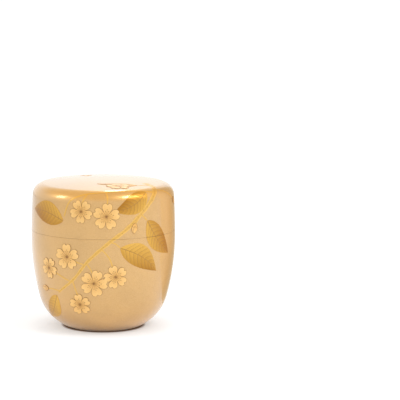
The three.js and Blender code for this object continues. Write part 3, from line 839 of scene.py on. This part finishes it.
def mirrored(half_shares):
    """A closed outline from one half of it, whose ends lie on the middle line."""
    return half_shares + [(-across, up) for across, up in half_shares[-2:0:-1]]


BUD_OUTLINE_SHARES = mirrored([(0, -1), (0.62, -0.66), (1, -0.1), (0.74, 0.5), (0, 1)])
BUD_CALYX_SHARES = [(-0.8, -0.45), (-0.45, -0.1), (0, -0.42), (0.45, -0.1), (0.8, -0.45)]
BUD_FOLD_SHARES = [(0, -0.3), (0.32, 0.1), (0.3, 0.5), (0, 0.9)]
FALLEN_OUTLINE_SHARES = mirrored([(0, -1), (0.62, -0.5), (1, 0.25), (0.62, 0.96), (0, 0.68)])
FALLEN_VEIN_SHARES = [
    [(side * 0.1, -0.75), (side * 0.4, -0.2), (side * 0.6, 0.3)] for side in (-1, 0, 1)
]
DROP_RING_SHARES = np.array((0, 0.3, 0.55, 0.76, 0.92, 1))[:, None]
DROP_DOME_POWER = 3
DROP_TONE = 0.35
DROP_PALING = 0.3


def draw_drop(relief, turn, rise, spec, size, outline_shares, line_shares, layer):
    """A rounded patch, domed, with a fine line round its edge and drawn lines over it."""

    def at(flat_shares, inset=0):
        flat = flat_shares * (size - inset) / 2
        return moved(turn, rise, *leaned(flat[..., 0], flat[..., 1], spec["lean"]))

    edge = smooth_way(outline_shares, OUTLINE_STEPS, closed=True)
    rings = edge * DROP_RING_SHARES[:, :, None]
    lift = layer + RELIEF_LIFT - (RELIEF_LIFT - RELIEF_EDGE) * DROP_RING_SHARES**DROP_DOME_POWER
    tone = DROP_TONE + DROP_PALING * rings[..., 1]
    relief.patch(at(rings), lift, tone, ring=True)
    relief.stroke(at(edge, OUTLINE_WIDTH), layer + RELIEF_EDGE, OUTLINE_WIDTH, closed=True)
    for shares in line_shares:
        relief.stroke(at(smooth_way(shares, OUTLINE_STEPS)), layer + RELIEF_LIFT, STAMEN_WIDTH)


def draw_bud(relief, turn, rise, spec):
    size = np.array((BUD_WIDTH, BUD_LENGTH))
    lines = (BUD_CALYX_SHARES, BUD_FOLD_SHARES)
    draw_drop(relief, turn, rise, spec, size, BUD_OUTLINE_SHARES, lines, BLOSSOM_LAYER)


def draw_fallen_petal(relief, turn, rise, spec):
    size = np.array((2 * PETAL_RADIUS, 2 * PETAL_RADIUS))
    draw_drop(relief, turn, rise, spec, size, FALLEN_OUTLINE_SHARES, FALLEN_VEIN_SHARES, 0)


# Leaves
LEAF_BELLY_POWER = 0.8
LEAF_EDGE_POWER = 0.9
LEAF_DOME_POWER = 3
LEAF_RIB_SWELL_SHARE = 0.55
LEAF_ROWS = 96
LEAF_COLUMNS = 16
LEAF_TEETH = 24
TOOTH_POWER = 6
TOOTH_INSET_SHARE = 0.7
LEAF_TONE_ACROSS = 0.3
LEAF_TONE_ALONG = 0.25
LEAF_TONE_VEINS = 0.18
RIB_POINTS = 36
RIB_END_SHARE = 0.97
RIB_THINNING_SHARE = 0.7
VEIN_PAIRS = 8
VEIN_POINTS = 12
VEIN_END_SIDE_SHARE = 0.88
VEIN_THINNING_SHARE = 0.5
VEIN_START_SHARE = 0.1
VEIN_STEP_SHARE = 0.097
VEIN_REACH_SHARE = 0.14
VEIN_SWEEP_POWER = 1.4


def draw_leaf(relief, turn, rise, spec):
    size_share, bow_share = spec["size_share"], spec["bow_share"]

    def at(share, side, toothed=0.0):
        fullness = np.sin(math.pi * share**LEAF_BELLY_POWER) ** LEAF_EDGE_POWER
        half = np.maximum(fullness * LEAF_WIDTH * size_share, LEAF_TIP_WIDTH) / 2
        bow = LEAF_BOW * bow_share * np.sin(math.pi * share)
        tooth = toothed * LEAF_TOOTH * fullness * side**TOOTH_POWER * np.sign(side)
        flat = leaned(bow + side * half + tooth, share * LEAF_LENGTH * size_share, spec["lean"])
        return moved(turn, rise, *flat)

    def lift_at(side):
        side = np.abs(side)
        bulge = (1 - LEAF_RIB_SWELL_SHARE) * np.sin(math.pi * side)
        swell = (1 - side**LEAF_DOME_POWER) * (LEAF_RIB_SWELL_SHARE + bulge)
        return LEAF_LAYER + RELIEF_EDGE + (RELIEF_LIFT - RELIEF_EDGE) * swell

    share = np.linspace(0, 1, LEAF_ROWS + 1)[:, None]
    side = np.linspace(-1, 1, LEAF_COLUMNS + 1)[None]
    sweep = VEIN_REACH_SHARE * np.abs(side) ** VEIN_SWEEP_POWER
    between_veins = (share - VEIN_START_SHARE - sweep) / VEIN_STEP_SHARE % 1
    tone = spec["tone"] + LEAF_TONE_ACROSS * side * bow_share
    tone = tone + LEAF_TONE_ALONG * np.cos(math.pi * share) + LEAF_TONE_VEINS * (between_veins - 0.5)
    in_tooth = share * LEAF_TEETH % 1 - TOOTH_INSET_SHARE
    relief.patch(at(share, side, in_tooth), lift_at(side), np.clip(tone, 0, 1))

    rib = np.linspace(0, RIB_END_SHARE, RIB_POINTS)
    relief.stroke(at(rib, 0), lift_at(0), RIB_WIDTH * (1 - RIB_THINNING_SHARE * rib))
    out = np.linspace(0, 1, VEIN_POINTS)
    width = VEIN_WIDTH * (1 - VEIN_THINNING_SHARE * out)
    for start in VEIN_START_SHARE + VEIN_STEP_SHARE * np.arange(VEIN_PAIRS):
        along = start + VEIN_REACH_SHARE * out**VEIN_SWEEP_POWER
        for way in (-VEIN_END_SIDE_SHARE, VEIN_END_SIDE_SHARE):
            relief.stroke(at(along, way * out), lift_at(way * out), width)


# Branches, twigs and stalks
KNOT_LENGTH = 0.0058
KNOT_SHARE = 0.09
LENTICEL_STEP = 0.0021
LENTICEL_POINTS = 5
LENTICEL_SIDE_SHARES = [np.linspace(*ends, LENTICEL_POINTS) for ends in ((-0.62, 0.1), (-0.1, 0.62))]
WAY_STEPS = 24
RIBBON_LEAST_POINTS = 4
BARK_TONE = 0.35
BARK_SIDE_PALING = 0.5


def ribbon_line(way_shares):
    """A smooth way over the ground in even steps, and the distances along it."""
    corners = [(math.radians(turn), rise_of(share)) for turn, share in way_shares]
    fine = smooth_way(corners, WAY_STEPS)
    steps = np.diff(fine, axis=0)
    middle = (fine[1:, 1] + fine[:-1, 1]) / 2
    lengths = np.hypot(steps[:, 0] * ground_radius(middle), steps[:, 1])
    distances = np.concatenate(([0], np.cumsum(lengths)))
    count = max(RIBBON_LEAST_POINTS, round(distances[-1] / RIBBON_STEP))
    even = np.linspace(0, distances[-1], count)
    return [np.interp(even, distances, line) for line in fine.T], even


def draw_ribbon(relief, way_shares, near_width, far_width, knotted=False):
    """A bough, twig or stalk; a knotted one swells at its knots and has dashes across its bark."""
    place, distance = ribbon_line(way_shares)
    width = near_width + (far_width - near_width) * distance / distance[-1]
    if knotted:
        width = width * (1 + KNOT_SHARE * np.sin(distance / KNOT_LENGTH * math.tau))
        draw_lenticels(relief, place, distance, width)
    ridge = RELIEF_LIFT - RELIEF_EDGE
    tone = BARK_TONE + BARK_SIDE_PALING * np.abs(STROKE_SIDE_SHARES)
    relief.stroke(place, RELIEF_EDGE, width, ridge, tone, inked=False)


def draw_lenticels(relief, place, distance, width):
    """Short dark dashes across the bark, on one side and the other by turns."""
    turn, rise = place
    step_across, step_up = steps_along(turn, rise)
    step = np.hypot(step_across, step_up)
    for number, mark in enumerate(np.arange(LENTICEL_STEP, distance[-1], LENTICEL_STEP)):
        near = int(np.argmin(np.abs(distance - mark)))
        out = LENTICEL_SIDE_SHARES[number % 2] * width[near] / 2 / step[near]
        dash = moved(turn[near], rise[near], step_up[near] * out, -step_across[near] * out)
        relief.stroke(dash, RELIEF_LIFT, STAMEN_WIDTH)


# Front spray: it hangs from the crown on the right, over the shoulder and across the seam to the left.
# Turns, spins and leans are degrees, turns from the front; rises are shares of the way up cup and lid.
FRONT_BRANCH_SHARES = [
    (70, 1.605), (58, 1.47), (46, 1.34), (35, 1.225), (21, 1.085), (7, 0.97), (-9, 0.805), (-22, 0.625),
    (-38, 0.485),
]
FRONT_TWIG_SHARES = [
    (50, 1.39), (36, 1.425), (18, 1.435), (0, 1.42), (-14, 1.39), (-25, 1.32), (-29.5, 1.19),
]
FRONT_STALK_SHARES = [
    [(-11, 0.785), (-7, 0.715), (-5.5, 0.65)],
    [(-12, 0.765), (-18, 0.785), (-23, 0.815)],
    [(-23, 0.61), (-21, 0.53), (-19, 0.46)],
    [(-25, 0.6), (-33, 0.64), (-41, 0.68)],
    [(1, 0.915), (7, 0.835), (10, 0.745)],
    [(5, 1.42), (6, 1.35), (5, 1.275)],
    [(-10, 1.405), (-13, 1.35), (-14.5, 1.295)],
    [(26, 1.44), (27, 1.49), (25, 1.55)],
    [(8, 0.975), (12, 0.96), (15.5, 0.925)],
    [(33, 1.21), (36, 1.185), (39, 1.15)],
    [(31, 1.18), (30, 1.155), (28.5, 1.13)],
    [(-36, 0.495), (-44, 0.505), (-51, 0.5)],
    [(54, 1.425), (66, 1.37), (76, 1.3)],
    [(62, 1.515), (56, 1.56), (50, 1.585)],
]

# Back spray: it rises over the back of the cup, to the right as seen from behind
BACK_BRANCH_SHARES = [(148, 0.305), (160, 0.44), (176, 0.57), (194, 0.66), (212, 0.815)]
BACK_STALK_SHARES = [
    [(168, 0.51), (165, 0.61), (166, 0.69)],
    [(184, 0.61), (188, 0.55), (191, 0.49)],
    [(205, 0.755), (198, 0.805), (194, 0.855)],
    [(157, 0.405), (151, 0.44), (146, 0.46)],
    [(211, 0.805), (219, 0.815), (226, 0.805)],
]

# Single motifs, front and back, in the order of the frame's nodes
BLOSSOM_SHARES = [
    {"turn": -5, "rise_share": 0.595, "size_share": 1.06, "spin": 70},
    {"turn": -27, "rise_share": 0.83, "size_share": 1, "spin": 20},
    {"turn": -18, "rise_share": 0.385, "size_share": 0.86, "spin": 100},
    {"turn": 12.5, "rise_share": 0.655, "size_share": 0.92, "spin": 38},
    {"turn": -46, "rise_share": 0.705, "size_share": 0.84, "spin": 55},
    {"turn": 5, "rise_share": 1.2, "size_share": 1.02, "spin": 84},
    {"turn": -15, "rise_share": 1.24, "size_share": 0.9, "spin": 50},
    {"turn": 23, "rise_share": 1.62, "size_share": 0.9, "spin": 12},
    {"turn": 166, "rise_share": 0.755, "size_share": 0.96, "spin": 80},
    {"turn": 193, "rise_share": 0.405, "size_share": 0.88, "spin": 30},
    {"turn": 189, "rise_share": 0.865, "size_share": 0.8, "spin": 61},
]
BUD_SHARES = [
    {"turn": 27.5, "rise_share": 1.09, "lean": 190},
    {"turn": -55, "rise_share": 0.5, "lean": -92},
    {"turn": 80, "rise_share": 1.275, "lean": 130},
    {"turn": 230, "rise_share": 0.8, "lean": 96},
]
LEAF_SHARES = [
    {"turn": 39.5, "rise_share": 1.145, "lean": 138, "size_share": 1, "bow_share": 1, "tone": 0.35},
    {"turn": 16, "rise_share": 0.92, "lean": 122, "size_share": 1.02, "bow_share": -1, "tone": 0.5},
    {"turn": -30.5, "rise_share": 1.15, "lean": -82, "size_share": 1, "bow_share": 1, "tone": 0.35},
    {"turn": -41, "rise_share": 0.45, "lean": -140, "size_share": 0.8, "bow_share": -1, "tone": 0.75},
    {"turn": 49, "rise_share": 1.595, "lean": -58, "size_share": 0.7, "bow_share": 0.5, "tone": 0.5},
    {"turn": 41, "rise_share": 1.405, "lean": -117, "size_share": 0.86, "bow_share": -1, "tone": 0.4},
    {"turn": 145, "rise_share": 0.46, "lean": -72, "size_share": 0.85, "bow_share": 1, "tone": 0.4},
    {"turn": 214, "rise_share": 0.79, "lean": 142, "size_share": 0.85, "bow_share": 1, "tone": 0.5},
]
FALLEN_PETAL_SHARES = [
    {"turn": 100, "rise_share": 0.735, "lean": 35},
    {"turn": 122, "rise_share": 1.195, "lean": -60},
    {"turn": 176, "rise_share": 1.235, "lean": 150},
    {"turn": 252, "rise_share": 1.175, "lean": 20},
    {"turn": 268, "rise_share": 0.57, "lean": -35},
    {"turn": 205, "rise_share": 1.605, "lean": 75},
]


def draw_spray(relief, branch_shares, twig_shares, stalk_shares):
    for way_shares in stalk_shares:
        draw_ribbon(relief, way_shares, STALK_WIDTH, STALK_WIDTH)
    for way_shares in twig_shares:
        draw_ribbon(relief, way_shares, TWIG_WIDTH, STALK_WIDTH)
    draw_ribbon(relief, branch_shares, BRANCH_WIDTH, BRANCH_TIP_WIDTH, knotted=True)


# What a motif keeps of itself under each ending of its name: the level it is cut at, if any, and
# whether the part above the cut is kept
PARTINGS = {
    "": (None, True),
    "_lower": (CUP_TOP - SEAM_EASE, False),
    "_upper": (LID_BOTTOM + SEAM_EASE, True),
}


def add_motif(name, gold, slot, draw, *details):
    """A motif on cup or lid, or on both in two pieces that part at the seam, as the frame's nodes do."""
    relief = Relief()
    draw(relief, *details)
    for ending, (level, keep_above) in PARTINGS.items():
        node = name + ending
        if node in frame["nodes"]:
            body = frame["nodes"][node]["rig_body"]
            relief.finish(f"{node}_drawn", gold, body, node, level, keep_above)


def add_motifs(prefix, gold, slot, draw, specs):
    for number, spec in enumerate(specs, 1):
        turn, rise = math.radians(spec["turn"]), rise_of(spec["rise_share"])
        add_motif(f"{prefix}_{number}", gold, slot, draw, turn, rise, spec)


def add_branch(name, branch_shares, twig_shares, stalk_shares):
    add_motif(name, BRANCH_GOLD, "branch_gold", draw_spray, branch_shares, twig_shares, stalk_shares)


add_motifs("blossom", BLOSSOM_GOLD, "blossom_gold", draw_blossom, BLOSSOM_SHARES)
add_motifs("bud", BLOSSOM_GOLD, "blossom_gold", draw_bud, BUD_SHARES)
add_motifs("leaf", LEAF_GOLD, "leaf_gold", draw_leaf, LEAF_SHARES)
add_motifs("petal", BLOSSOM_GOLD, "blossom_gold", draw_fallen_petal, FALLEN_PETAL_SHARES)
add_branch("front_branch", FRONT_BRANCH_SHARES, [FRONT_TWIG_SHARES], FRONT_STALK_SHARES)
add_branch("back_branch", BACK_BRANCH_SHARES, [], BACK_STALK_SHARES)

# Stage: a white floor and surround, soft lamps, and a warm card beside the caddy. Near the caddy the
# floor's glow is dimmed as painted shade, and at the foot its colour turns to a brown painted shadow;
# in the gloss the glow grows from left to right over a spread each way.
FLOOR_SIZE = 12
FLOOR_GAP = 0.00001
FLOOR_COLOUR = (0.85, 0.86, 0.88, 1)
FLOOR_SEEN_COLOUR = (0.52, 0.53, 0.55, 1)
# A brown painted contact shadow on the floor at the caddy's foot, mixed in where the place is shut in
FLOOR_PAINTED_SHADOW_COLOUR = (0.28, 0.18, 0.11, 1)
FLOOR_GLOWS = (0.35, 0.56)
FLOOR_GLOSS_GLOWS = (0.1, 0.36)
FLOOR_GLOSS_SPREAD = 0.4
FLOOR_GLOSS_SHADE_SHARE = 0.3
CONTACT_REACH = 0.0014
CONTACT_OPEN_SHARES = (0.25, 0.85)
SHADE_REACH = 0.012
SHADE_SAMPLES = 16
SURROUND_LEVEL = 0.85
HORIZON_LEVEL = 1.17
HORIZON_WARMTH = 0.08
SKY_LEVEL = 1.15
SKY_COLOUR = (1, 0.81, 0.48, 1)
SKY_FALL = (0.3, 0.7)
WHITE = (1, 1, 1, 1)
BLACK = (0, 0, 0, 1)
GLOSS_RAYS = ("Is Glossy Ray", "Is Transmission Ray")
CARD_STOPS = [
    (0.0, (0.72, 0.64, 0.5)),
    (0.06, (0.53, 0.42, 0.27)),
    (0.2, (0.66, 0.48, 0.26)),
    (0.45, (0.97, 0.82, 0.6)),
]
CARD_LEVEL = 1.3
CARD_CORNER = (0.036, 0.018)
CARD_SIZE = (0.105, 0.107)
LAMP_AIM = (0, 0, 0.06)
LAMP_DISTANCE = 0.7

# Each lamp's turn from the front, its elevation, its width and height, and its level, where the
# white surround is 1
LAMPS = {
    "left_lamp": (-77, 33, (0.17, 0.18), 6.0),
    "right_lamp": (60, 49, (0.26, 0.2), 9.0),
    "back_lamp": (180, 36, (0.05, 0.26), 5.0),
}


def by_ray(tree, kind, level, other):
    """One level for rays of a kind and another for the rest; each is an output or a plain value."""
    return add_range(tree, add_node(tree, "ShaderNodeLightPath").outputs[kind], other, level)


def add_card(name, corners, material):
    """A flat four-cornered piece of the stage."""
    mesh = bpy.data.meshes.new(name)
    mesh.from_pydata(corners, [], [(0, 1, 2, 3)])
    mesh.materials.append(material)
    card = bpy.data.objects.new(name, mesh)
    bpy.context.scene.collection.objects.link(card)
    return card


def add_open_share(tree, reach):
    """How open a place is to what lies around it, within a reach."""
    node = add_node(tree, "ShaderNodeAmbientOcclusion", {"Distance": reach}, samples=SHADE_SAMPLES)
    return node.outputs["AO"]


def add_product(tree, first, second):
    """Two values multiplied, each an output or a plain value."""
    return add_node(tree, "ShaderNodeMath", {0: first, 1: second}, operation="MULTIPLY").outputs[0]


def add_floor():
    """White to the camera, with painted shade towards the foot, and a soft sheen of its own in the
    gloss.
    """
    material, tree, shader = new_material(
        "floor", Base_Color=FLOOR_COLOUR, Roughness=0.9, Emission_Color=WHITE
    )
    across = add_axis(tree, add_place(tree), "X")
    near_share = add_open_share(tree, CONTACT_REACH)
    gloss_glow = add_range(tree, across, *FLOOR_GLOSS_GLOWS, -FLOOR_GLOSS_SPREAD, FLOOR_GLOSS_SPREAD)
    # Painted shade in the gloss: the floor's glow is dimmed next to the foot
    gloss_glow = add_product(tree, gloss_glow, add_range(tree, near_share, FLOOR_GLOSS_SHADE_SHARE, 1.0))
    glow = 0.0
    for kind in GLOSS_RAYS:
        glow = by_ray(tree, kind, gloss_glow, glow)
    # Painted shade to the camera: the floor's glow is dimmed near the caddy, most at the foot
    painted_shade_openness = add_range(tree, near_share, 0.0, 1.0, *CONTACT_OPEN_SHARES)
    wide_glow = add_range(tree, add_open_share(tree, SHADE_REACH), *FLOOR_GLOWS)
    seen_glow = add_product(tree, painted_shade_openness, wide_glow)
    glow = by_ray(tree, "Is Camera Ray", seen_glow, glow)
    tree.links.new(glow, shader.inputs["Emission Strength"])
    seen = add_node(tree, "ShaderNodeLightPath").outputs["Is Camera Ray"]
    # The floor's colour to the camera darkens to the brown painted shadow where the place is shut in
    seen_colour_with_painted_shadow = add_mix(tree, painted_shade_openness, FLOOR_PAINTED_SHADOW_COLOUR, FLOOR_SEEN_COLOUR)
    tree.links.new(add_mix(tree, seen, FLOOR_COLOUR, seen_colour_with_painted_shadow), shader.inputs["Base Color"])
    half = FLOOR_SIZE / 2
    ways = ((-half, -half), (half, -half), (half, half), (-half, half))
    corners = [(x, y, -FLOOR_GAP) for x, y in ways]
    add_card("floor", corners, material)


def add_warm_card():
    """It shows only in the gloss, as a warm band down the right side."""
    material, tree, shader = new_material(
        "warm_card", Base_Color=BLACK, Roughness=1, Emission_Strength=CARD_LEVEL, Specular_IOR_Level=0
    )
    left, y = CARD_CORNER
    right, top = left + CARD_SIZE[0], CARD_SIZE[1]
    share = add_range(tree, add_axis(tree, add_place(tree), "X"), 0.0, 1.0, left, right)
    tree.links.new(add_ramp(tree, share, CARD_STOPS), shader.inputs["Emission Color"])
    corners = [(left, y, 0), (right, y, 0), (right, y, top), (left, y, top)]
    card = add_card("warm_card", corners, material)
    card.visible_camera = card.visible_diffuse = card.visible_shadow = False


def add_surround():
    """White to the camera and near the horizon, and warmer overhead where it shows in the gloss."""
    world = bpy.data.worlds.new("surround")
    world.use_nodes = True
    tree = world.node_tree
    height = add_axis(tree, add_node(tree, "ShaderNodeTexCoord").outputs["Generated"], "Z")
    fall = add_range(tree, height, 0.0, 1.0, *SKY_FALL, interpolation_type="SMOOTHSTEP")
    level = SURROUND_LEVEL
    warmth = 0.0
    for kind in GLOSS_RAYS:
        level = by_ray(tree, kind, add_range(tree, fall, HORIZON_LEVEL, SKY_LEVEL), level)
        warmth = by_ray(tree, kind, add_range(tree, fall, HORIZON_WARMTH, 1.0), warmth)
    background = tree.nodes["Background"]
    tree.links.new(by_ray(tree, "Is Camera Ray", 1.0, level), background.inputs["Strength"])
    tree.links.new(add_mix(tree, warmth, WHITE, SKY_COLOUR), background.inputs["Color"])
    bpy.context.scene.world = world


def add_lamps():
    for name, (turn, elevation, (width, height), level) in LAMPS.items():
        light = bpy.data.lights.new(name, "AREA")
        light.shape = "RECTANGLE"
        light.size, light.size_y = width, height
        light.energy = level * math.pi * width * height
        turn, elevation = math.radians(turn), math.radians(elevation)
        flat = math.cos(elevation)
        way = Vector((math.sin(turn) * flat, -math.cos(turn) * flat, math.sin(elevation)))
        holder = bpy.data.objects.new(name, light)
        holder.location = Vector(LAMP_AIM) + way * LAMP_DISTANCE
        holder.rotation_euler = way.to_track_quat("Z", "Y").to_euler()
        bpy.context.scene.collection.objects.link(holder)


add_floor()
add_warm_card()
add_surround()
add_lamps()
bpy.context.scene.view_settings.view_transform = "Standard"
